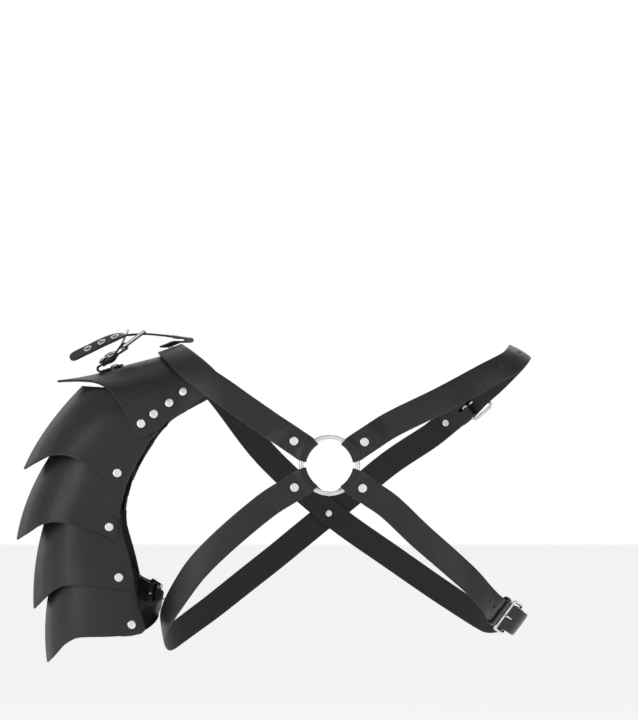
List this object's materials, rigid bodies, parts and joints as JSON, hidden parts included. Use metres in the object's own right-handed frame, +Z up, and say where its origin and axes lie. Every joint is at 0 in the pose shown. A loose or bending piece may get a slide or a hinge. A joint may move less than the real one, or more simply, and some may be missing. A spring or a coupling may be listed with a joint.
{
  "type": "shoulder harness",
  "caption": "Leather cross harness with a front ring and a layered pauldron on the right shoulder, worn over the torso and upper arm.",
  "frame": {"origin": "on the wearer's mid-plane, level with the tops of the shoulders", "axes": "+Z up, +X towards the wearer's left, -Y the front with the ring"},
  "size_m": [0.4803, 0.2358, 0.3097],
  "materials": {
    "leather": "smooth black leather with a soft semi-matte sheen and burnished edges",
    "metal": "bright nickel plate"
  },
  "bodies": {
    "root": {"anchor_eyelet_1": "metal", "anchor_eyelet_2": "metal", "arm_buckle_frame": "metal", "arm_buckle_prong": "metal", "arm_rivet_front": "metal", "arm_rivet_rear": "metal", "arm_strap_back": "leather", "arm_strap_front": "leather", "back_buckle_frame": "metal", "back_buckle_prong": "metal", "back_cross_rivet": "metal", "back_fold_rivet": "metal", "front_ring": "metal", "hanger_anchor": "leather", "hanger_buckle_frame": "metal", "hanger_buckle_prong": "metal", "hanger_foot_rivet": "metal", "hanger_tongue": "leather", "plate_1": "leather", "plate_1_strap_rivet": "metal", "plate_2": "leather", "plate_3": "leather", "plate_4": "leather", "plate_5": "leather", "plate_rivet_12a_front": "metal", "plate_rivet_12a_rear": "metal", "plate_rivet_12b_front": "metal", "plate_rivet_12b_rear": "metal", "plate_rivet_12c_front": "metal", "plate_rivet_12c_rear": "metal", "plate_rivet_12d_front": "metal", "plate_rivet_12d_rear": "metal", "plate_rivet_23_front": "metal", "plate_rivet_23_rear": "metal", "plate_rivet_34_front": "metal", "plate_rivet_34_rear": "metal", "plate_rivet_45_front": "metal", "plate_rivet_45_rear": "metal", "ring_rivet_left_flank": "metal", "ring_rivet_left_shoulder": "metal", "ring_rivet_right_flank": "metal", "ring_rivet_right_shoulder": "metal", "seat_eyelet_lower": "metal", "seat_eyelet_upper": "metal", "side_buckle_frame": "metal", "side_buckle_prong": "metal", "side_fold_rivet": "metal", "side_keeper": "leather", "strap_left_flank": "leather", "strap_left_shoulder": "leather", "strap_right_flank": "leather", "strap_right_shoulder": "leather", "tongue_eyelet_1": "metal", "tongue_eyelet_2": "metal", "tongue_eyelet_3": "metal"}
  },
  "joints": []
}
